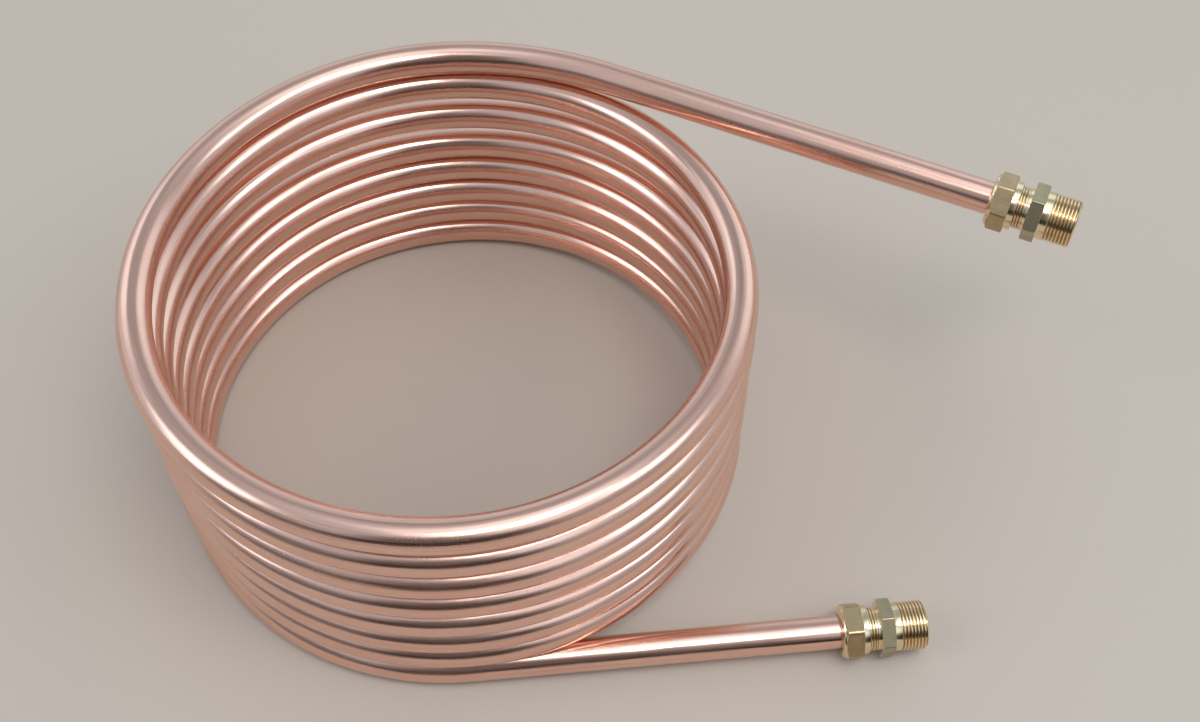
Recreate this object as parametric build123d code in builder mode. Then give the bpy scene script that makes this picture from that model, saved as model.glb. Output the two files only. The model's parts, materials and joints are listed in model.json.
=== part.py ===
from build123d import *
from math import cos, radians, sin, tan
import os

os.makedirs("parts", exist_ok=True)

# Tube
TUBE_OD = 18.0
TUBE_WALL = 1.0

# Coil. The levels are the heights of the tube's centreline in tube diameters, every half turn from
# the back of the top turn down to the front of the bottom one. The last half turn lies on the floor.
COIL_R = 157.8
LEVELS = (8.77, 8.40, 7.62, 7.21, 6.28, 6.07, 4.87, 4.82, 3.74, 3.72, 2.66, 2.66, 1.59, 1.59, 0.5, 0.5)
BACK = 90.0
HALF_TURN = 180.0
BENDS = 60
BEND_FILL = 0.985

# The upper end leaves the back of the coil in a wider bend
UPPER_BEND_R = 201.3
UPPER_TURN = 29.4

# Tails, from the bend they leave to the outer face of the nut
UPPER_TAIL = 226.1
LOWER_TAIL = 199.5

# Olive
OLIVE_WALL = 1.2
OLIVE_LAND = 0.35
SEAT_DEPTH = 2.3

# Compression nut: a bevelled ring, the hexagon and a round collar
NUT_RING = 1.6
NUT_BEVEL = 0.8
NUT_HEX = 9.8
NUT_COLLAR = 3.35
NUT_MOUTH = 3.0
NUT_WALL = 2.1
COLLAR_WALL = 1.2
NUT_OUTER_TRIM = 2.3
NUT_INNER_TRIM = 1.3

# Adapter
SCREW_WALL = 1.6
THREAD_GAP = 6.2
SCREW_IN_NUT = 7.5
BODY_HEX = 7.3
BODY_TRIM = 1.0
NECK = 3.6
NECK_D = 26.0
PIPE_THREAD = 14.6
PIPE_THREAD_D = 26.44
LEAD_IN = 1.4
END_CHAMFER = 0.8
TUBE_DEPTH = 10.5

# Slope of the trimmed corners in degrees, rise of the nut's bevel to its run, and how far each
# hexagon is turned from lying on a flat
TRIM_SLOPE = 30.0
BEVEL_SLOPE = 2.0
UPPER_NUT_TWIST = -15.0
UPPER_ADAPTER_TWIST = -5.0
LOWER_NUT_TWIST = 0.0
LOWER_ADAPTER_TWIST = -22.0

# Clearances
SLIDE = 0.1
SQUEEZED = 0.02
END_GAP = 0.3

# Radii, from the tube outwards
TUBE_R = TUBE_OD / 2
WATERWAY_R = TUBE_R - TUBE_WALL
SEAT_R = TUBE_R + OLIVE_LAND
OLIVE_R = TUBE_R + OLIVE_WALL
SCREW_R = OLIVE_R + SCREW_WALL
COLLAR_R = SCREW_R + SLIDE + COLLAR_WALL
HEX_HALF = SCREW_R + SLIDE + NUT_WALL
HEX_CORNER = HEX_HALF / cos(radians(30))
RING_R = HEX_CORNER - NUT_OUTER_TRIM
PIPE_THREAD_R = PIPE_THREAD_D / 2

# Places along a fitting, from the outer face of the nut
NUT_HEX_END = NUT_RING + NUT_HEX
NUT_LENGTH = NUT_HEX_END + NUT_COLLAR
SCREW_START = NUT_LENGTH - SCREW_IN_NUT
SEAT_END = SCREW_START + SEAT_DEPTH
TUBE_STOP = SCREW_START + TUBE_DEPTH
HEX_START = NUT_LENGTH + THREAD_GAP
HEX_END = HEX_START + BODY_HEX
NECK_END = HEX_END + NECK
FITTING_LENGTH = NECK_END + PIPE_THREAD
TUBE_IN_FITTING = TUBE_STOP - END_GAP

# Bends of the route
TURN_PER_BEND = HALF_TURN * (len(LEVELS) - 1) / BENDS
CORNER_R = COIL_R / cos(radians(TURN_PER_BEND / 2))
CORNER_SETBACK = COIL_R * tan(radians(TURN_PER_BEND / 2))
UPPER_SETBACK = UPPER_BEND_R * tan(radians(UPPER_TURN / 2))

# The lower tail rises until its adapter's lowest corner is on the floor
CORNER_FROM_DOWN = radians(30 + LOWER_ADAPTER_TWIST)
LOWER_REST = HEX_CORNER * cos(CORNER_FROM_DOWN)
REST_AT = LOWER_TAIL + HEX_START

upper_way = Vector(cos(radians(UPPER_TURN)), -sin(radians(UPPER_TURN)), 0)
lower_way = Vector(CORNER_SETBACK + REST_AT, 0, LOWER_REST - TUBE_R).normalized()

# The coil stands off the origin, so that the middle of the whole part's base is at the origin
UPPER_REACH = UPPER_SETBACK + UPPER_TAIL + FITTING_LENGTH
RIM_R = PIPE_THREAD_R - LEAD_IN
LEFT_EDGE = -(COIL_R + TUBE_R)
RIGHT_EDGE = UPPER_SETBACK + UPPER_REACH * upper_way.X + RIM_R * upper_way.Y * -1
BACK_EDGE = COIL_R + TUBE_R
FRONT_EDGE = -(COIL_R + HEX_CORNER)
coil_axis = Vector(-(LEFT_EDGE + RIGHT_EDGE) / 2, -(BACK_EDGE + FRONT_EDGE) / 2, 0)


def level(angle):
    """Height of the centreline at an angle round the coil, in degrees."""
    place = (angle - BACK) / HALF_TURN
    low = min(int(place), len(LEVELS) - 2)
    return TUBE_OD * (LEVELS[low] + (LEVELS[low + 1] - LEVELS[low]) * (place - low))


def round_coil(radius, angle):
    """A point of the winding at a radius and an angle round the coil's axis, in degrees."""
    turned_by = radians(angle)
    return coil_axis + Vector(radius * cos(turned_by), radius * sin(turned_by), level(angle))


upper_corner = round_coil(COIL_R, BACK) + Vector(UPPER_SETBACK, 0, 0)
upper_face = upper_corner + upper_way * (UPPER_SETBACK + UPPER_TAIL)
last_corner = BACK + TURN_PER_BEND * (BENDS - 0.5)
lower_face = round_coil(CORNER_R, last_corner) + lower_way * (CORNER_SETBACK + LOWER_TAIL)


def route():
    """Corners of the tube's centreline, from the upper end to the lower end."""
    points = [upper_face + upper_way * TUBE_IN_FITTING, upper_corner]
    for bend in range(BENDS):
        points.append(round_coil(CORNER_R, BACK + TURN_PER_BEND * (bend + 0.5)))
    points.append(lower_face + lower_way * TUBE_IN_FITTING)
    return points


def seated(face, way):
    """Where a fitting sits: its X axis along the tail, out of the coil."""
    side = Vector(0, 0, 1).cross(way)
    return Plane(origin=face, x_dir=way, z_dir=way.cross(side)).location


def hexagon(start, length, near_trim, far_trim):
    """A hexagon along X that lies on a flat, its corners trimmed by so much at each end."""
    with BuildSketch(Plane.YZ.offset(start)) as six_sides:
        RegularPolygon(HEX_CORNER, 6)
    extrude(six_sides.sketch, amount=length)
    slope = tan(radians(TRIM_SLOPE))
    with BuildSketch(Plane.XY) as trim:
        with BuildLine():
            Polyline(
                (start, 0),
                (start, HEX_CORNER - near_trim),
                (start + near_trim * slope, HEX_CORNER),
                (start + length - far_trim * slope, HEX_CORNER),
                (start + length, HEX_CORNER - far_trim),
                (start + length, 0),
                close=True,
            )
        make_face()
    revolve(trim.sketch, axis=Axis.X, mode=Mode.INTERSECT)


def turned(*points, mode=Mode.ADD):
    """A closed profile of places along X and radii, turned about X."""
    with BuildSketch(Plane.XY) as profile:
        with BuildLine():
            Polyline(*points, close=True)
        make_face()
    revolve(profile.sketch, axis=Axis.X, mode=mode)


def tube_filled_to(radius):
    """Sweeps a full round section along the tube's route."""
    radii = [UPPER_BEND_R * BEND_FILL] + [COIL_R * BEND_FILL] * BENDS
    with BuildLine():
        line = FilletPolyline(*route(), radius=radii)
    with BuildSketch(Plane(origin=line @ 0, z_dir=line % 0)) as section:
        Circle(radius)
    sweep(section.sketch, path=line)


# Copper tube: its outer wall and its bore, each swept along the same line, closed by a ring at
# each end
with BuildPart() as outside:
    tube_filled_to(TUBE_R)

with BuildPart() as bore:
    tube_filled_to(WATERWAY_R)

outer_ends = outside.faces().filter_by(GeomType.PLANE).sort_by(Axis.Z)
bore_ends = bore.faces().filter_by(GeomType.PLANE).sort_by(Axis.Z)
walls = outside.faces().filter_by(GeomType.PLANE, reverse=True)
walls += bore.faces().filter_by(GeomType.PLANE, reverse=True)
for outer_end, bore_end in zip(outer_ends, bore_ends):
    walls.append(Face(outer_end.outer_wire(), [bore_end.outer_wire()]))

with BuildPart() as copper_tube:
    add(Solid(Shell(walls)))

# Nut: ring, hexagon and collar, with a mouth for the tube and a clear bore over the thread
with BuildPart() as nut:
    hexagon(NUT_RING, NUT_HEX, NUT_OUTER_TRIM, NUT_INNER_TRIM)
    turned(
        (0, 0),
        (0, RING_R - NUT_BEVEL * BEVEL_SLOPE),
        (NUT_BEVEL, RING_R),
        (NUT_RING, RING_R),
        (NUT_RING, 0),
    )
    turned(
        (NUT_HEX_END, 0),
        (NUT_HEX_END, COLLAR_R),
        (NUT_LENGTH, COLLAR_R),
        (NUT_LENGTH, 0),
    )
    turned(
        (0, 0),
        (0, TUBE_R + SLIDE),
        (NUT_MOUTH, TUBE_R + SLIDE),
        (NUT_MOUTH, SCREW_R + SLIDE),
        (NUT_LENGTH, SCREW_R + SLIDE),
        (NUT_LENGTH, 0),
        mode=Mode.SUBTRACT,
    )

# Olive: squeezed onto the tube, its blunt end on the nut's mouth and its cone in the adapter's seat
with BuildPart() as olive:
    turned(
        (NUT_MOUTH, TUBE_R + SQUEEZED),
        (NUT_MOUTH, OLIVE_R - SQUEEZED),
        (SCREW_START, OLIVE_R - SQUEEZED),
        (SEAT_END, SEAT_R - SQUEEZED),
        (SEAT_END, TUBE_R + SQUEEZED),
    )

# Adapter: compression thread, hexagon, neck and pipe thread, bored through
with BuildPart() as adapter:
    hexagon(HEX_START, BODY_HEX, BODY_TRIM, BODY_TRIM)
    turned(
        (SCREW_START, 0),
        (SCREW_START, SCREW_R - END_CHAMFER),
        (SCREW_START + END_CHAMFER, SCREW_R),
        (HEX_START, SCREW_R),
        (HEX_START, NECK_D / 2),
        (NECK_END, NECK_D / 2),
        (NECK_END, PIPE_THREAD_R),
        (FITTING_LENGTH - LEAD_IN, PIPE_THREAD_R),
        (FITTING_LENGTH, PIPE_THREAD_R - LEAD_IN),
        (FITTING_LENGTH, 0),
    )
    turned(
        (SCREW_START, 0),
        (SCREW_START, OLIVE_R),
        (SEAT_END, SEAT_R),
        (SEAT_END + END_GAP, SEAT_R),
        (SEAT_END + END_GAP, TUBE_R + SLIDE),
        (TUBE_STOP, TUBE_R + SLIDE),
        (TUBE_STOP, WATERWAY_R),
        (FITTING_LENGTH, WATERWAY_R),
        (FITTING_LENGTH, 0),
        mode=Mode.SUBTRACT,
    )

# Fittings on the upper tail
with BuildPart() as upper_nut:
    with Locations(seated(upper_face, upper_way)):
        add(nut.part, rotation=(UPPER_NUT_TWIST, 0, 0))

with BuildPart() as upper_olive:
    with Locations(seated(upper_face, upper_way)):
        add(olive.part)

with BuildPart() as upper_adapter:
    with Locations(seated(upper_face, upper_way)):
        add(adapter.part, rotation=(UPPER_ADAPTER_TWIST, 0, 0))

# Fittings on the lower tail
with BuildPart() as lower_nut:
    with Locations(seated(lower_face, lower_way)):
        add(nut.part, rotation=(LOWER_NUT_TWIST, 0, 0))

with BuildPart() as lower_olive:
    with Locations(seated(lower_face, lower_way)):
        add(olive.part)

with BuildPart() as lower_adapter:
    with Locations(seated(lower_face, lower_way)):
        add(adapter.part, rotation=(LOWER_ADAPTER_TWIST, 0, 0))

# Files
copper_tube.part.label = "copper_tube"
upper_nut.part.label = "upper_nut"
upper_olive.part.label = "upper_olive"
upper_adapter.part.label = "upper_adapter"
lower_nut.part.label = "lower_nut"
lower_olive.part.label = "lower_olive"
lower_adapter.part.label = "lower_adapter"
export_step(copper_tube.part, "parts/copper_tube.step")
export_step(upper_nut.part, "parts/upper_nut.step")
export_step(upper_olive.part, "parts/upper_olive.step")
export_step(upper_adapter.part, "parts/upper_adapter.step")
export_step(lower_nut.part, "parts/lower_nut.step")
export_step(lower_olive.part, "parts/lower_olive.step")
export_step(lower_adapter.part, "parts/lower_adapter.step")

metal = copper_tube.part.volume
section = outer_ends[0].area - bore_ends[0].area
length = outside.part.volume / outer_ends[0].area
print("tube length", round(length, 1), "metal", round(metal, 1), "section by length", round(section * length, 1))
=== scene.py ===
import bmesh
import bpy
import json
from math import atan2, ceil, cos, pi, radians, sin, sqrt, tan
from mathutils import Matrix, Vector


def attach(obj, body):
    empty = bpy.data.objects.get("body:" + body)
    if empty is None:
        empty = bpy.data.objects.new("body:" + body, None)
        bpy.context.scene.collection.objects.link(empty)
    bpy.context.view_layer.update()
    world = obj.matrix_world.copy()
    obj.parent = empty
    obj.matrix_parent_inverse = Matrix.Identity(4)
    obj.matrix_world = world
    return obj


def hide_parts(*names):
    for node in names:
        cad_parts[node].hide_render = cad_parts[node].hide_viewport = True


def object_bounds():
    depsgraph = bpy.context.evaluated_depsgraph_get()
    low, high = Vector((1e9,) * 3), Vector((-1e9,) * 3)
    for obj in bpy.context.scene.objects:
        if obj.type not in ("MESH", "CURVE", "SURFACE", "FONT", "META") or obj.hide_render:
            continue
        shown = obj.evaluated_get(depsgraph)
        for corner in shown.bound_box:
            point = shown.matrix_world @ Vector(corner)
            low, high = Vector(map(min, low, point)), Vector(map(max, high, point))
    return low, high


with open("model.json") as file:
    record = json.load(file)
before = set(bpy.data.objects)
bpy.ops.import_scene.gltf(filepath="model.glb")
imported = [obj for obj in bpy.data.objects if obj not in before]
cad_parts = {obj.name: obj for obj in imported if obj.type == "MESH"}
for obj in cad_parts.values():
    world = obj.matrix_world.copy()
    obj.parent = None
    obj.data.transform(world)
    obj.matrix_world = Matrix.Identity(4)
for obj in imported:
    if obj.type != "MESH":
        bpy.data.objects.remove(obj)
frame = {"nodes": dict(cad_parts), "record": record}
cad_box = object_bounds()
MM = 0.001

# Tube and coil, in millimetres and degrees, as in the part. The levels are in tube diameters, every
# half turn from the back of the top turn down
TUBE_OD = 18.0
TUBE_WALL = 1.0
COIL_R = 157.8
LEVELS = (8.77, 8.40, 7.62, 7.21, 6.28, 6.07, 4.87, 4.82, 3.74, 3.72, 2.66, 2.66, 1.59, 1.59, 0.5, 0.5)
BACK = 90.0
HALF_TURN = 180.0
TURN_PER_BEND = 45.0
UPPER_BEND_R = 201.3
UPPER_TURN = 29.4
UPPER_TAIL = 226.1
LOWER_TAIL = 199.5

# Nut, as in the part
NUT_RING = 1.6
NUT_BEVEL = 0.8
BEVEL_SLOPE = 2.0
NUT_HEX = 9.8
NUT_COLLAR = 3.35
NUT_MOUTH = 3.0
NUT_OUTER_TRIM = 2.3
NUT_INNER_TRIM = 1.3
COLLAR_R = 13.1
HEX_HALF = 14.0
TRIM_ANGLE = 30.0

# Adapter, as in the part
OLIVE_R = 10.2
SEAT_R = 9.35
SEAT_DEPTH = 2.3
SCREW_R = 11.8
SCREW_IN_NUT = 7.5
THREAD_GAP = 6.2
BODY_HEX = 7.3
BODY_TRIM = 1.0
NECK = 3.6
NECK_R = 13.0
PIPE_THREAD = 14.6
PIPE_THREAD_R = 13.22
LEAD_IN = 1.4
END_CHAMFER = 0.8
TUBE_DEPTH = 10.5

# Clearances, and how far each hexagon is turned, as in the part
SLIDE = 0.1
END_GAP = 0.3
UPPER_NUT_TWIST = -15.0
UPPER_ADAPTER_TWIST = -5.0
LOWER_NUT_TWIST = 0.0
LOWER_ADAPTER_TWIST = -22.0

# Radii and places along a fitting, from the outer face of the nut
TUBE_R = TUBE_OD / 2
WATERWAY_R = TUBE_R - TUBE_WALL
MOUTH_R = TUBE_R + SLIDE
HEX_CORNER = HEX_HALF / cos(pi / 6)
RING_R = HEX_CORNER - NUT_OUTER_TRIM
NUT_HEX_END = NUT_RING + NUT_HEX
NUT_LENGTH = NUT_HEX_END + NUT_COLLAR
SCREW_START = NUT_LENGTH - SCREW_IN_NUT
SEAT_END = SCREW_START + SEAT_DEPTH
TUBE_STOP = SCREW_START + TUBE_DEPTH
TUBE_IN_FITTING = TUBE_STOP - END_GAP
HEX_START = NUT_LENGTH + THREAD_GAP
HEX_END = HEX_START + BODY_HEX
NECK_END = HEX_END + NECK
FITTING_LENGTH = NECK_END + PIPE_THREAD


def fitting_face(name):
    """Outer face of a fitting's nut, and the way out of the coil, from the mount on its pipe thread."""
    mount = next(row for row in frame["record"]["mounts"] if row["name"] == name)
    way = Vector(mount["axis"])
    middle_of_thread = NECK_END + (PIPE_THREAD - LEAD_IN) / 2
    return Vector(mount["pos_m"]) / MM - way * middle_of_thread, way


upper_face, upper_way = fitting_face("upper_thread")
lower_face, lower_way = fitting_face("lower_thread")

# The coil's left and back are the edges of the whole part
coil_middle = Vector((cad_box[0][0] / MM + COIL_R + TUBE_R, cad_box[1][1] / MM - COIL_R - TUBE_R, 0))

# Tube: the spacing of its rings along bends and straight tails, and the number of its sides
RING_TURN = 3.0
RING_RUN = 9.0
TUBE_SIDES = 44
COIL_START = BACK
COIL_END = BACK + HALF_TURN * (len(LEVELS) - 1)

# A height is the mean of the levels at these angles on either side, so that the slope changes softly
LEVEL_SPREAD = (-24.0, -12.0, 0.0, 12.0, 24.0)

# The winding was bent by hand and runs a little inside its true circle: how far on average, the waves
# that vary this, each with its height, its number in a turn and its start, and the angle over which
# all this fades in and out at the ends
INSET = 0.45
INSET_WAVES = ((0.18, 1.37, 20), (0.18, 2.63, 150), (0.09, 6.1, 0))
INSET_FADE = 60.0


def level(angle):
    """Height of the centreline at an angle round the coil."""
    total = 0.0
    for offset in LEVEL_SPREAD:
        place = max(angle + offset - BACK, 0.0) / HALF_TURN
        low = min(int(place), len(LEVELS) - 2)
        total += LEVELS[low] + (LEVELS[low + 1] - LEVELS[low]) * min(place - low, 1.0)
    return TUBE_OD * total / len(LEVEL_SPREAD)


def inset(angle):
    """How far inside its true circle the winding runs at an angle."""
    fade = min(1.0, (angle - COIL_START) / INSET_FADE, (COIL_END - angle) / INSET_FADE)
    waves = sum(height * sin(radians(angle * number + start)) for height, number, start in INSET_WAVES)
    return fade * (INSET + waves)


def tail_lift(angle):
    """How far the last bend has risen at an angle, to meet the rising lower tail."""
    rise = lower_way.z / lower_way.x * COIL_R * tan(radians(TURN_PER_BEND / 2))
    return rise * max(0.0, (angle - COIL_END) / TURN_PER_BEND + 1) ** 2


def spaced(first, last, most):
    """Values from first up to last, no more than most apart, without the last."""
    steps = ceil((last - first) / most)
    return [first + (last - first) * k / steps for k in range(steps)]


def around(middle, radius, angle, height):
    """A point at a radius, an angle and a height about an upright axis."""
    turned_by = radians(angle)
    return middle + Vector((radius * cos(turned_by), radius * sin(turned_by), height))


def centreline():
    """Points along the tube's centreline, from the upper end to the lower one."""
    points = []
    for distance in spaced(0, UPPER_TAIL + TUBE_IN_FITTING, RING_RUN):
        points.append(upper_face + upper_way * (TUBE_IN_FITTING - distance))

    bend_middle = coil_middle + Vector((0, COIL_R - UPPER_BEND_R, 0))
    for angle in spaced(BACK - UPPER_TURN, BACK, RING_TURN):
        points.append(around(bend_middle, UPPER_BEND_R, angle, upper_face.z))

    for angle in spaced(COIL_START, COIL_END, RING_TURN):
        height = level(angle) + tail_lift(angle)
        points.append(around(coil_middle, COIL_R - inset(angle), angle, height))

    tail = LOWER_TAIL + TUBE_IN_FITTING
    for distance in spaced(0, tail, RING_RUN) + [tail]:
        points.append(lower_face + lower_way * (distance - LOWER_TAIL))
    return points


def across(points, k):
    """Sideways and upward directions across the tube at one of its points."""
    way = (points[min(k + 1, len(points) - 1)] - points[max(k - 1, 0)]).normalized()
    side = Vector((0, 0, 1)).cross(way).normalized()
    return side, way.cross(side)


def tube_mesh(name, points):
    """The tube with its bore along the points. Its UVs are metres along it and turns round it."""
    bm = bmesh.new()
    uv = bm.loops.layers.uv.new("UVMap")
    along = [0.0]
    for a, b in zip(points, points[1:]):
        along.append(along[-1] + (b - a).length * MM)

    def wall(radius):
        rings = []
        for k, point in enumerate(points):
            side, up = across(points, k)
            ring = []
            for n in range(TUBE_SIDES):
                turn = 2 * pi * n / TUBE_SIDES - pi / 2
                ring.append(bm.verts.new((point + (side * cos(turn) + up * sin(turn)) * radius) * MM))
            rings.append(ring)
        return rings

    def join(near, far, near_place, far_place, flipped):
        for n in range(TUBE_SIDES):
            m = (n + 1) % TUBE_SIDES
            here, there = n / TUBE_SIDES, (n + 1) / TUBE_SIDES
            corners = [near[n], near[m], far[m], far[n]]
            places = [(near_place, here), (near_place, there), (far_place, there), (far_place, here)]
            if flipped:
                corners.reverse()
                places.reverse()
            face = bm.faces.new(corners)
            face.smooth = True
            for loop, place in zip(face.loops, places):
                loop[uv].uv = place

    outer, inner = wall(TUBE_R), wall(WATERWAY_R)
    for rings, flipped in ((outer, False), (inner, True)):
        for k in range(len(points) - 1):
            join(rings[k], rings[k + 1], along[k], along[k + 1], flipped)
    join(outer[0], inner[0], along[0], along[0], True)
    join(outer[-1], inner[-1], along[-1], along[-1], False)

    bm.normal_update()
    mesh = bpy.data.meshes.new(name)
    bm.to_mesh(mesh)
    bm.free()
    return mesh


# Brass fittings, each a closed surface of rows of points round the X axis. First their edges: the
# radius of each hexagon's long edges, how far its ends and the turned corners are broken, the chamfers
# of the mouth and the waterway, and how far a turned stretch starts beside a corner or stops short of
# a hexagon
NUT_CORNER_ROUND = 2.2
BODY_CORNER_ROUND = 0.9
HEX_EDGE = 0.12
EDGE_EASE = 0.15
MOUTH_CHAMFER = 0.6
MOUTH_CHAMFER_DEPTH = 0.7
WATERWAY_CHAMFER = 0.5
BESIDE = 0.1
SHORT_OF_HEX = 0.05

# Threads: pitch, depth, the length over which each deepens, and how much of the compression thread lies
# inside the nut. The pipe thread is 14 to the inch. The root's flat and the flank are shares of the way
# from the middle of a root to the middle of a crest, and the flat crest takes what they leave
SCREW_PITCH = 1.5
SCREW_DEPTH = 0.8
SCREW_RUN_IN = 1.0
SCREW_HIDDEN = 2.0
PIPE_PITCH = 1.814
PIPE_DEPTH = 1.05
PIPE_RUN_IN = 1.2
ROOT_SHARE = 0.12
FLANK_SHARE = 0.53
THREAD_STEPS = 12

# Plain shoulder and thread relief between the compression thread and the hexagon
SHOULDER = 1.6
SHOULDER_R = 11.65
RELIEF = 0.5

# Columns on a hexagon's flat in degrees from the corner, edges that show as sharp, also in degrees, and
# the distances in metres at which points and slivers merge
FLAT_COLUMNS = (5.5, 8, 11.5, 15, 18.5, 22, 26, 30)
SHARP_EDGE = 28.0
MERGE = 2e-6
SLIVER = 1e-6

# Material slots of a fitting. The third is painted shade: darker brass in the thread roots
HEX_FACE, TURNED, PAINTED_SHADE_GROOVE = 0, 1, 2


def round_off(rounding):
    """Centre of a hexagon corner's rounding, and the angle from the corner where it meets the flat."""
    centre = (HEX_HALF - rounding) / cos(pi / 6)
    return centre, atan2(rounding * sin(pi / 6), centre + rounding * cos(pi / 6))


def angles_round():
    """Angles round a hexagon, close at its corners, with the ends of both roundings among them."""
    body_edge, nut_edge = round_off(BODY_CORNER_ROUND)[1], round_off(NUT_CORNER_ROUND)[1]
    half = [0.0, body_edge / 2, body_edge, (body_edge + nut_edge) / 2, nut_edge]
    half += [radians(angle) for angle in FLAT_COLUMNS]
    sector = [-angle for angle in reversed(half[1:-1])] + half
    return [corner * pi / 3 + angle for corner in range(6) for angle in sector]


ROUND = angles_round()


def share_of_turn(angle):
    """An angle as a share of a whole turn, from 0 up to 1."""
    return (angle / (2 * pi)) % 1.0


def hexagon_radius(angle, rounding):
    """Radius of a hexagon with rounded long edges, at an angle from a corner."""
    off = abs((angle + pi / 6) % (pi / 3) - pi / 6)
    centre, edge = round_off(rounding)
    if off < edge:
        return centre * cos(off) + sqrt(rounding ** 2 - (centre * sin(off)) ** 2)
    return HEX_HALF / cos(pi / 6 - off)


def hexagon_rows(start, length, near_trim, far_trim, rounding):
    """Rows of a hexagon whose corners are trimmed by a cone at each end."""
    slope = tan(radians(TRIM_ANGLE))
    near_r, far_r = HEX_CORNER - near_trim, HEX_CORNER - far_trim
    rows = [[], [], [], []]
    for angle in ROUND:
        radius = hexagon_radius(angle, rounding)
        near_depth = max(HEX_EDGE, (radius - near_r) * slope)
        far_depth = max(HEX_EDGE, (radius - far_r) * slope)
        rows[0].append((start, min(radius - HEX_EDGE, near_r)))
        rows[1].append((start + near_depth, radius))
        rows[2].append((start + length - far_depth, radius))
        rows[3].append((start + length, min(radius - HEX_EDGE, far_r)))
    return rows


def circle(place, radius):
    return [(place, radius)] * len(ROUND)


def eased(*corners):
    """Rows of a turned profile given as places along X and radii. All but its ends are eased."""
    rows = [circle(*corners[0])]
    for before, (x, r), after in zip(corners, corners[1:], corners[2:]):
        for other in (before, after):
            dx, dr = other[0] - x, other[1] - r
            run = sqrt(dx * dx + dr * dr)
            share = min(EDGE_EASE, run / 3) / run
            rows.append(circle(x + dx * share, r + dr * share))
    rows.append(circle(*corners[-1]))
    return rows


def thread_form(phase):
    """Height of a screw thread, from 0 at its root to 1 at its crest, over one pitch."""
    rise = 1 - abs(2 * (phase % 1.0) - 1)
    return min(1.0, max(0.0, (rise - ROOT_SHARE) / FLANK_SHARE))


def thread_rows(start, end, crest, depth, pitch, run_in, lead_in=0.0):
    """Rows that climb a right-handed thread. It deepens over its run-in and ends in a lead-in cone."""
    turns = ceil((end - start) / pitch) + 1
    rows = []
    for k in range(turns * THREAD_STEPS + 1):
        row = []
        for angle in ROUND:
            climb = share_of_turn(angle)
            x = min(max(start + pitch * (k / THREAD_STEPS + climb - 1), start), end)
            height = thread_form((x - start) / pitch - climb)
            cut = depth * (1 - height) * min(1.0, (x - start) / run_in)
            row.append((x, crest - max(cut, x - (end - lead_in))))
        rows.append(row)
    return rows


class Surface:
    """Rows of points round X, each joined to the next, and at last the last to the first."""

    def __init__(self):
        self.bm = bmesh.new()
        self.uv = self.bm.loops.layers.uv.new("UVMap")
        self.rows = []

    def row(self, places):
        made = []
        for angle, (x, r) in zip(ROUND, places):
            made.append(self.bm.verts.new((x * MM, r * cos(angle) * MM, r * sin(angle) * MM)))
        return made

    def quad(self, near, far, n, material, near_next=None, far_next=None):
        """A face between columns n and n + 1 of two rows, or of the rows next to them past a seam."""
        m = (n + 1) % len(ROUND)
        here, there = share_of_turn(ROUND[n]), share_of_turn(ROUND[m])
        if there < here:
            there += 1
        corners = (near[n], (near_next or near)[m], (far_next or far)[m], far[n])
        unique, places = [], []
        for corner, turn in zip(corners, (here, there, there, here)):
            if corner not in unique:
                unique.append(corner)
                places.append((corner.co.x, turn))
        if len(unique) < 3:
            return
        made = self.bm.faces.new(unique)
        made.smooth = True
        made.material_index = material
        for loop, place in zip(made.loops, places):
            loop[self.uv].uv = place

    def join(self, near, far, material):
        for n in range(len(ROUND)):
            self.quad(near, far, n, material)

    def add(self, rows, material):
        for places in rows:
            made = self.row(places)
            if self.rows:
                self.join(self.rows[-1], made, material)
            self.rows.append(made)

    def hexagon(self, start, length, near_trim, far_trim, rounding):
        near_end, near_edge, far_edge, far_end = hexagon_rows(start, length, near_trim, far_trim, rounding)
        self.add([near_end, near_edge], TURNED)
        self.add([far_edge], HEX_FACE)
        self.add([far_end], TURNED)

    def thread(self, rows):
        """A stretch of thread. Where its climb starts again, each row meets the row a pitch on."""
        made = [self.row(places) for places in rows]
        self.join(self.rows[-1], made[0], TURNED)
        climbs = [share_of_turn(angle) for angle in ROUND]
        seam = climbs.index(max(climbs))
        last = len(made) - 1
        for k in range(last):
            # Thread roots take the darker brass, painted shade in the grooves; crests take the turned
            # brass
            material = TURNED if thread_form((k + 0.5) / THREAD_STEPS) > 0.5 else PAINTED_SHADE_GROOVE
            near_next = made[min(k + THREAD_STEPS, last)]
            far_next = made[min(k + 1 + THREAD_STEPS, last)]
            for n in range(len(ROUND)):
                past_seam = (near_next, far_next) if n == seam else ()
                self.quad(made[k], made[k + 1], n, material, *past_seam)
        self.rows.append(made[-1])

    def mesh(self, name):
        self.join(self.rows[-1], self.rows[0], TURNED)
        bmesh.ops.remove_doubles(self.bm, verts=self.bm.verts, dist=MERGE)
        bmesh.ops.dissolve_degenerate(self.bm, edges=self.bm.edges, dist=SLIVER)
        bmesh.ops.recalc_face_normals(self.bm, faces=self.bm.faces)
        for edge in self.bm.edges:
            if len(edge.link_faces) == 2:
                edge.smooth = edge.calc_face_angle() < radians(SHARP_EDGE)
        mesh = bpy.data.meshes.new(name)
        self.bm.to_mesh(mesh)
        self.bm.free()
        return mesh


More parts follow.
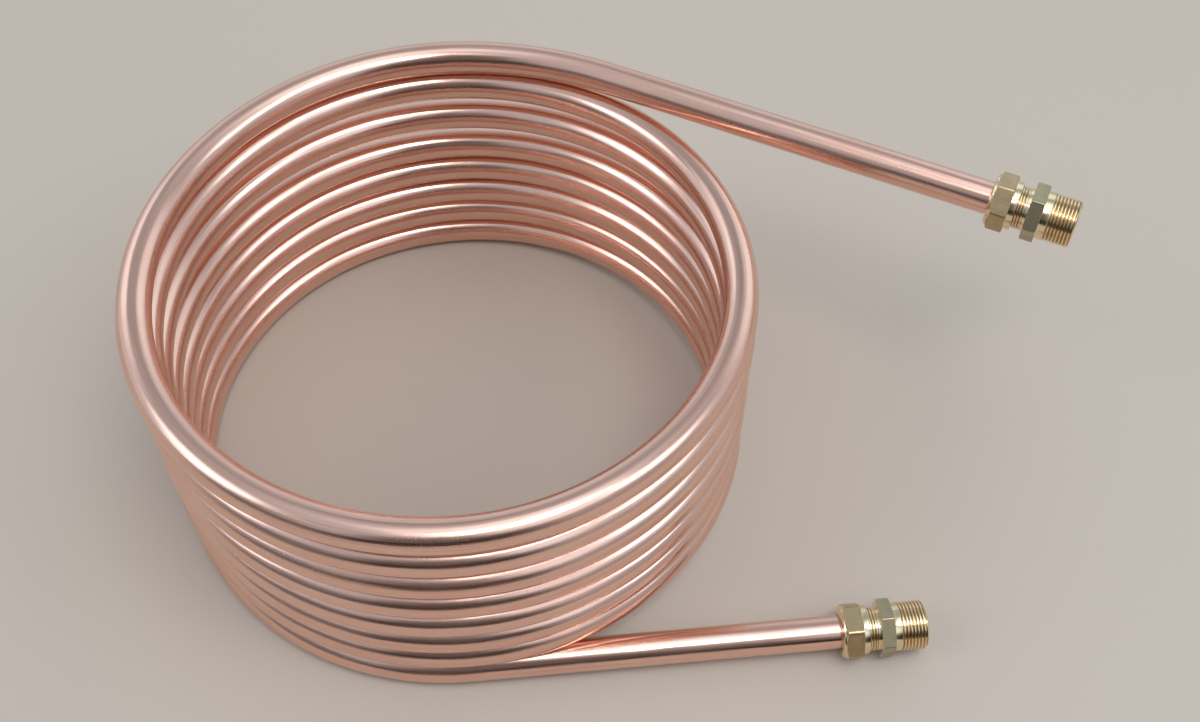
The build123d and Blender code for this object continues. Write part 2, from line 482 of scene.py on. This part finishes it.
def nut_mesh(name):
    """Bevelled ring, hexagon and collar, with the tube's mouth and a bore over the thread."""
    body = Surface()
    body.add(eased(
        (MOUTH_CHAMFER_DEPTH, MOUTH_R),
        (0, MOUTH_R + MOUTH_CHAMFER),
        (0, RING_R - NUT_BEVEL * BEVEL_SLOPE),
        (NUT_BEVEL, RING_R),
        (NUT_RING - SHORT_OF_HEX, RING_R),
    ), TURNED)
    body.hexagon(NUT_RING, NUT_HEX, NUT_OUTER_TRIM, NUT_INNER_TRIM, NUT_CORNER_ROUND)
    body.add(eased(
        (NUT_HEX_END, COLLAR_R + BESIDE),
        (NUT_HEX_END, COLLAR_R),
        (NUT_LENGTH, COLLAR_R),
        (NUT_LENGTH, SCREW_R + SLIDE),
        (NUT_MOUTH, SCREW_R + SLIDE),
        (NUT_MOUTH, MOUTH_R),
        (MOUTH_CHAMFER_DEPTH + BESIDE, MOUTH_R),
    ), TURNED)
    return body.mesh(name)


def adapter_mesh(name):
    """Compression thread, hexagon, neck and pipe thread, with the olive's seat and the waterway."""
    screw_begins, screw_ends = NUT_LENGTH - SCREW_HIDDEN, HEX_START - SHOULDER - RELIEF
    screw_root = SCREW_R - SCREW_DEPTH
    screw = thread_rows(screw_begins, screw_ends, SCREW_R, SCREW_DEPTH, SCREW_PITCH, SCREW_RUN_IN)
    pipe = thread_rows(
        NECK_END, FITTING_LENGTH, PIPE_THREAD_R, PIPE_DEPTH, PIPE_PITCH, PIPE_RUN_IN, lead_in=LEAD_IN
    )
    body = Surface()
    body.add(eased(
        (SEAT_END + END_GAP, SEAT_R),
        (SEAT_END, SEAT_R),
        (SCREW_START, OLIVE_R),
        (SCREW_START, SCREW_R - END_CHAMFER),
        (SCREW_START + END_CHAMFER, SCREW_R),
        (screw_begins, SCREW_R),
    ), TURNED)
    body.thread(screw)
    body.add(eased(
        (screw_ends, screw_root),
        (HEX_START - SHOULDER, screw_root),
        (HEX_START - SHOULDER, SHOULDER_R),
        (HEX_START - SHORT_OF_HEX, SHOULDER_R),
    ), TURNED)
    body.hexagon(HEX_START, BODY_HEX, BODY_TRIM, BODY_TRIM, BODY_CORNER_ROUND)
    body.add(eased((HEX_END, NECK_R + BESIDE), (HEX_END, NECK_R), (NECK_END, NECK_R)), TURNED)
    body.thread(pipe)
    body.add(eased(
        (FITTING_LENGTH, PIPE_THREAD_R - LEAD_IN - BESIDE),
        (FITTING_LENGTH, WATERWAY_R + WATERWAY_CHAMFER),
        (FITTING_LENGTH - WATERWAY_CHAMFER, WATERWAY_R),
        (TUBE_STOP, WATERWAY_R),
        (TUBE_STOP, MOUTH_R),
        (SEAT_END + END_GAP, MOUTH_R),
        (SEAT_END + END_GAP, SEAT_R - BESIDE),
    ), TURNED)
    return body.mesh(name)


def seat(mesh, face, way, twist):
    """Moves a fitting's mesh to its place on a tail."""
    side = Vector((0, 0, 1)).cross(way).normalized()
    axes = Matrix((way, side, way.cross(side))).transposed().to_4x4()
    mesh.transform(Matrix.Translation(face * MM) @ axes @ Matrix.Rotation(radians(twist), 4, "X"))


def piece(name, mesh, node, slot, *materials):
    """Adds a piece in place of a CAD node, with its materials. The slot that its finish is from is not
    used.
    """
    thing = bpy.data.objects.new(name, mesh)
    bpy.context.scene.collection.objects.link(thing)
    for material in materials:
        mesh.materials.append(material)
    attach(thing, "root")
    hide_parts(node)


# Materials
class Look:
    """Short names for building the nodes of a material or of the world."""

    def __init__(self, owner, shader="Principled BSDF"):
        self.owner = owner
        owner.use_nodes = True
        self.nodes = owner.node_tree.nodes
        self.links = owner.node_tree.links
        self.shader = self.nodes[shader]

    def feed(self, node, inputs):
        """Links each input to a socket, or sets it to a value."""
        for key, value in inputs.items():
            if isinstance(value, bpy.types.NodeSocket):
                self.links.new(value, node.inputs[key])
            else:
                node.inputs[key].default_value = value

    def node(self, kind, inputs, **settings):
        made = self.nodes.new(kind)
        for key, value in settings.items():
            setattr(made, key, value)
        self.feed(made, inputs)
        return made

    def math(self, operation, *values):
        return self.node("ShaderNodeMath", dict(enumerate(values)), operation=operation).outputs[0]

    def range(self, value, low, high, to_low, to_high, **settings):
        inputs = {"Value": value, "From Min": low, "From Max": high, "To Min": to_low, "To Max": to_high}
        return self.node("ShaderNodeMapRange", inputs, **settings).outputs[0]

    def share(self, value, low, high, **settings):
        return self.range(value, low, high, 0, 1, **settings)

    def blend(self, share, first, second):
        inputs = {0: share, 6: first, 7: second}
        return self.node("ShaderNodeMix", inputs, data_type="RGBA").outputs[2]

    def drawn_round(self, radius):
        """Gives places round a turned piece, in metres and without a seam, stretched along it."""
        uv = self.node("ShaderNodeTexCoord", {}).outputs["UV"]
        parts = self.node("ShaderNodeSeparateXYZ", {0: uv}).outputs
        angle = self.math("MULTIPLY", parts[1], 2 * pi)
        sideways = self.math("MULTIPLY", self.math("COSINE", angle), radius * MM)
        upwards = self.math("MULTIPLY", self.math("SINE", angle), radius * MM)

        def drawn(stretch):
            along = self.math("MULTIPLY", parts[0], stretch)
            return self.node("ShaderNodeCombineXYZ", {0: along, 1: sideways, 2: upwards}).outputs[0]

        return drawn

    def noise(self, drawn, stretch, scale, detail, rough):
        inputs = {"Vector": drawn(stretch), "Scale": scale, "Detail": detail, "Roughness": rough}
        return self.node("ShaderNodeTexNoise", inputs).outputs["Fac"]


# Patterns on the copper: stretch along the tube, scale, detail and roughness of each
DRAW_LINES = (0.02, 900, 3, 0.6)
FAINT_FLATS = (0.015, 260, 1, 0.4)
SWELL = (0.35, 60, 2, 0.5)
TARNISH = (0.6, 26, 4, 0.6)
# Painted reflection: thin dark lines along the tube that stand in for reflected dark lines
PAINTED_REFLECTION_LINES = (0.008, 1100, 1, 0.5)
RUBBED = (0.4, 48, 3, 0.6)
TICKS = (2.0, 800, 2, 0.5)

# Where in its noise each pattern starts to show and where it shows in full
LINES_FROM_TO = (0.3, 0.75)
TARNISH_FROM_TO = (0.35, 0.7)
PAINTED_REFLECTION_FROM_TO = (0.64, 0.70)
RUBBED_FROM_TO = (0.62, 0.76)
TICKS_FROM_TO = (0.62, 0.72)
CLOUDS_FROM_TO = (0.3, 0.7)

# Colours of the copper, and how strongly the last three show. The dark fourth colour is painted
# reflection: dark lines along the tube
BRIGHT_COPPER = (0.88, 0.565, 0.455, 1)
TARNISHED_COPPER = (0.83, 0.495, 0.385, 1)
LINE_COPPER = (0.91, 0.64, 0.55, 1)
PAINTED_REFLECTION_COPPER = (0.62, 0.32, 0.22, 1)
SCUFFED_COPPER = (0.97, 0.80, 0.72, 1)
LINES_SHOW = 0.3
PAINTED_REFLECTION_SHOW = 0.45
SCUFFS_SHOW = 0.4

# Roughness of the copper by its draw lines, and what tarnish and scuffs add. The first two say between
# which values of the noise the roughness goes from one to another. Then its relief: the height of the
# lines as a share of the flats', the depth of both in metres, and the swell's depth and strength
COPPER_ROUGH = (0.25, 0.75, 0.15, 0.26)
TARNISH_ROUGH = (0.3, 0.75, -0.02, 0.06)
SCUFF_ROUGH = 0.2
LINE_HEIGHT = 0.25
LINE_RELIEF = 0.0002
SWELL_RELIEF = 0.0006
SWELL_STRENGTH = 0.5

# Brass: lines drawn along a hexagon bar or turned round a piece, with their strength, and clouds
BAR_LINES = (0.06, 900, 3, 0.6)
BAR_STRENGTH = 0.5
LATHE_LINES = (8.0, 420, 3, 0.6)
LATHE_STRENGTH = 0.3
BRASS_CLOUDS = (1.0, 160, 4, 0.6)
BRASS_RELIEF = 0.00004
LINES_IN_ROUGHNESS = 0.6


def copper_look():
    """Drawn copper: pink metal with lines and faint flats along it, painted dark reflection lines, scuffs
    and slight tarnish.
    """
    look = Look(bpy.data.materials.new("copper"))
    drawn = look.drawn_round(TUBE_R)
    lines = look.noise(drawn, *DRAW_LINES)
    flats = look.noise(drawn, *FAINT_FLATS)
    swell = look.noise(drawn, *SWELL)
    tarnish = look.noise(drawn, *TARNISH)
    # Thin dark lines along the tube, a painted reflection
    painted_dark_lines = look.share(look.noise(drawn, *PAINTED_REFLECTION_LINES), *PAINTED_REFLECTION_FROM_TO)
    rubbed = look.share(look.noise(drawn, *RUBBED), *RUBBED_FROM_TO)
    ticks = look.share(look.noise(drawn, *TICKS), *TICKS_FROM_TO)
    scuffs = look.math("MULTIPLY", rubbed, ticks)

    line_share = look.math("MULTIPLY", look.share(lines, *LINES_FROM_TO), LINES_SHOW)
    painted_dark_line_share = look.math("MULTIPLY", painted_dark_lines, PAINTED_REFLECTION_SHOW)
    scuff_share = look.math("MULTIPLY", scuffs, SCUFFS_SHOW)
    colour = look.blend(look.share(tarnish, *TARNISH_FROM_TO), BRIGHT_COPPER, TARNISHED_COPPER)
    colour = look.blend(line_share, colour, LINE_COPPER)
    # Painted reflection: darker copper along the thin dark lines
    colour = look.blend(painted_dark_line_share, colour, PAINTED_REFLECTION_COPPER)
    colour = look.blend(scuff_share, colour, SCUFFED_COPPER)

    rough = look.range(lines, *COPPER_ROUGH)
    rough = look.math("ADD", rough, look.range(tarnish, *TARNISH_ROUGH))
    rough = look.math("ADD", rough, look.math("MULTIPLY", scuffs, SCUFF_ROUGH))

    relief = look.math("ADD", look.math("MULTIPLY", lines, LINE_HEIGHT), flats)
    fine = look.node("ShaderNodeBump", {"Height": relief, "Strength": 1.0, "Distance": LINE_RELIEF})
    wavy = look.node("ShaderNodeBump", {
        "Height": swell, "Strength": SWELL_STRENGTH, "Distance": SWELL_RELIEF, "Normal": fine.outputs[0]
    })
    look.feed(look.shader, {
        "Base Color": colour, "Metallic": 1.0, "Roughness": rough, "Normal": wavy.outputs[0]
    })
    return look.owner


def brass_look(name, colour, other, smooth, rough, line_pattern, strength):
    """Brass with fine lines along it or round it, clouded from one colour to another."""
    look = Look(bpy.data.materials.new(name))
    drawn = look.drawn_round(HEX_HALF)
    lines = look.noise(drawn, *line_pattern)
    clouds = look.noise(drawn, *BRASS_CLOUDS)
    line_part = look.math("MULTIPLY", lines, LINES_IN_ROUGHNESS)
    cloud_part = look.math("MULTIPLY", clouds, 1 - LINES_IN_ROUGHNESS)
    mixed = look.math("ADD", line_part, cloud_part)
    bump = look.node("ShaderNodeBump", {"Height": lines, "Strength": strength, "Distance": BRASS_RELIEF})
    look.feed(look.shader, {
        "Base Color": look.blend(look.share(clouds, *CLOUDS_FROM_TO), colour, other),
        "Metallic": 1.0,
        "Roughness": look.range(mixed, *CLOUDS_FROM_TO, smooth, rough),
        "Normal": bump.outputs[0],
    })
    return look.owner


copper = copper_look()
nut_brass = brass_look(
    "nut_brass", (0.55, 0.41, 0.24, 1), (0.44, 0.32, 0.18, 1), 0.26, 0.40, BAR_LINES, BAR_STRENGTH
)
adapter_brass = brass_look(
    "adapter_brass", (0.49, 0.41, 0.27, 1), (0.39, 0.33, 0.205, 1), 0.28, 0.42, BAR_LINES, BAR_STRENGTH
)
turned_brass = brass_look(
    "turned_brass", (0.88, 0.74, 0.51, 1), (0.81, 0.66, 0.42, 1), 0.09, 0.20, LATHE_LINES, LATHE_STRENGTH
)
# Painted shade: darker brass for the thread roots
groove_brass_painted_shade = brass_look(
    "groove_brass_painted_shade", (0.68, 0.51, 0.29, 1), (0.57, 0.41, 0.22, 1), 0.16, 0.30, LATHE_LINES, LATHE_STRENGTH
)

# Pieces
piece("tube", tube_mesh("tube", centreline()), "copper_tube", "copper", copper)
for label, make, flats, face, way, twist in (
    ("upper_nut", nut_mesh, nut_brass, upper_face, upper_way, UPPER_NUT_TWIST),
    ("upper_adapter", adapter_mesh, adapter_brass, upper_face, upper_way, UPPER_ADAPTER_TWIST),
    ("lower_nut", nut_mesh, nut_brass, lower_face, lower_way, LOWER_NUT_TWIST),
    ("lower_adapter", adapter_mesh, adapter_brass, lower_face, lower_way, LOWER_ADAPTER_TWIST),
):
    mesh = make(label + "_turned")
    seat(mesh, face, way, twist)
    piece(label + "_turned", mesh, label, "brass", flats, turned_brass, groove_brass_painted_shade)

for label in ("upper_olive", "lower_olive"):
    olive = frame["nodes"][label]
    olive.data.materials.clear()
    olive.data.materials.append(turned_brass)

# Floor
REACH = 6.0
FLOOR_COLOUR = (0.56, 0.475, 0.40, 1)
FLOOR_ROUGH = 0.75
floor_corners = [(-REACH, -REACH, 0), (REACH, -REACH, 0), (REACH, REACH, 0), (-REACH, REACH, 0)]
floor_mesh = bpy.data.meshes.new("floor")
floor_mesh.from_pydata(floor_corners, [], [(0, 1, 2, 3)])
floor = bpy.data.objects.new("floor", floor_mesh)
bpy.context.scene.collection.objects.link(floor)
ground = Look(bpy.data.materials.new("floor"))
ground.feed(ground.shader, {"Base Color": FLOOR_COLOUR, "Roughness": FLOOR_ROUGH})
floor_mesh.materials.append(ground.owner)


# Light: one soft box above, and a room that is seen in the metal
def softbox(name, place, aim, width, depth, radiance):
    lamp = bpy.data.lights.new(name, "AREA")
    lamp.shape = "RECTANGLE"
    lamp.size, lamp.size_y = width, depth
    lamp.energy = radiance * pi * width * depth
    thing = bpy.data.objects.new(name, lamp)
    thing.location = place
    thing.rotation_euler = (Vector(aim) - Vector(place)).to_track_quat("-Z", "Y").to_euler()
    bpy.context.scene.collection.objects.link(thing)


softbox("key", place=(0.35, -0.75, 2.2), aim=(-0.05, 0, 0), width=1.15, depth=0.62, radiance=6.8)

# The room's light by direction. On the camera's side it brightens with height, and on the far side it
# darkens and then ends in a ceiling. A height is the sine of the elevation, a depth points away from
# the camera, and each pair is where a change starts and ends
NEAR_LOW, NEAR_HIGH = (0.33, 0.34, 0.36, 1), (0.52, 0.58, 0.64, 1)
FAR_LOW, FAR_HIGH = (0.66, 0.75, 0.83, 1), (0.36, 0.40, 0.44, 1)
CEILING = (0.58, 0.65, 0.72, 1)
NEAR_HEIGHTS = (0, 0.45)
FAR_HEIGHTS = (0.38, 0.72)
CEILING_HEIGHTS = (0.80, 0.96)
DEPTHS = (-0.5, 0.4)

# Round patches of the room: azimuth, elevation, the radius within which a patch is full and the one
# where it ends, all in degrees, and its radiance. The first three are dark, on the camera's side. Then
# come a window at the left and one at the right, and paler stretches of wall and ceiling
PATCHES = (
    (-140, 6, 8, 32, (0.15, 0.155, 0.165, 1)),
    (-94, 8, 20, 38, (0.035, 0.029, 0.026, 1)),
    (-98, 36, 6, 24, (0.13, 0.125, 0.125, 1)),
    (-175, 38, 3, 19, (2.8, 3.1, 3.4, 1)),
    (-18, 42, 3, 18, (2.5, 2.8, 3.1, 1)),
    (-55, 42, 4, 20, (1.05, 1.16, 1.28, 1)),
    (135, 30, 4, 18, (1.2, 1.33, 1.47, 1)),
    (45, 28, 8, 26, (1.0, 1.12, 1.22, 1)),
    (20, 84, 6, 20, (1.3, 1.43, 1.56, 1)),
)


def room():
    """World light by direction: brightness by height, with the soft patches blended in."""
    look = Look(bpy.data.worlds.new("room"), "Background")
    bpy.context.scene.world = look.owner
    way = look.node("ShaderNodeTexCoord", {}).outputs["Generated"]
    parts = look.node("ShaderNodeSeparateXYZ", {0: way}).outputs
    depth, height = parts[1], parts[2]
    near_side = look.blend(look.share(height, *NEAR_HEIGHTS), NEAR_LOW, NEAR_HIGH)
    far_side = look.blend(look.share(height, *FAR_HEIGHTS), FAR_LOW, FAR_HIGH)
    far_side = look.blend(look.share(height, *CEILING_HEIGHTS), far_side, CEILING)
    colour = look.blend(look.share(depth, *DEPTHS), near_side, far_side)
    for azimuth, elevation, inner, outer, radiance in PATCHES:
        az, el = radians(azimuth), radians(elevation)
        aim = (cos(el) * cos(az), cos(el) * sin(az), sin(el))
        dot = look.node("ShaderNodeVectorMath", {0: way, 1: aim}, operation="DOT_PRODUCT")
        limits = (cos(radians(outer)), cos(radians(inner)))
        inside = look.share(dot.outputs["Value"], *limits, interpolation_type="SMOOTHSTEP")
        colour = look.blend(inside, colour, radiance)
    look.feed(look.shader, {"Color": colour})


room()

# Camera, fitted to the photo: its place in metres, angles in degrees and focal length in pixels of the
# photo's width
CAMERA_AT = (-0.044535, -0.476719, 0.722155)
CAMERA_ELEVATION = 53.8402
CAMERA_YAW = -4.7568
CAMERA_ROLL = -0.1185
FOCAL_PIXELS = 1416.16
IMAGE_WIDTH = 1200
SENSOR = 36.0
NEAREST_SEEN = 0.01

elevation, yaw, roll = radians(CAMERA_ELEVATION), radians(CAMERA_YAW), radians(CAMERA_ROLL)
back = Vector((sin(yaw) * cos(elevation), -cos(yaw) * cos(elevation), sin(elevation)))
right = Vector((0, 0, 1)).cross(back).normalized()
up = back.cross(right)
rolled_right = right * cos(roll) + up * sin(roll)
rolled_up = up * cos(roll) - right * sin(roll)
camera_axes = Matrix((rolled_right, rolled_up, back)).transposed().to_4x4()
camera_data = bpy.data.cameras.new("camera")
camera_data.sensor_width = SENSOR
camera_data.lens = FOCAL_PIXELS * SENSOR / IMAGE_WIDTH
camera_data.clip_start = NEAREST_SEEN
camera = bpy.data.objects.new("camera", camera_data)
camera.matrix_world = Matrix.Translation(CAMERA_AT) @ camera_axes
bpy.context.scene.collection.objects.link(camera)
bpy.context.scene.camera = camera
bpy.context.scene.view_settings.view_transform = "Standard"
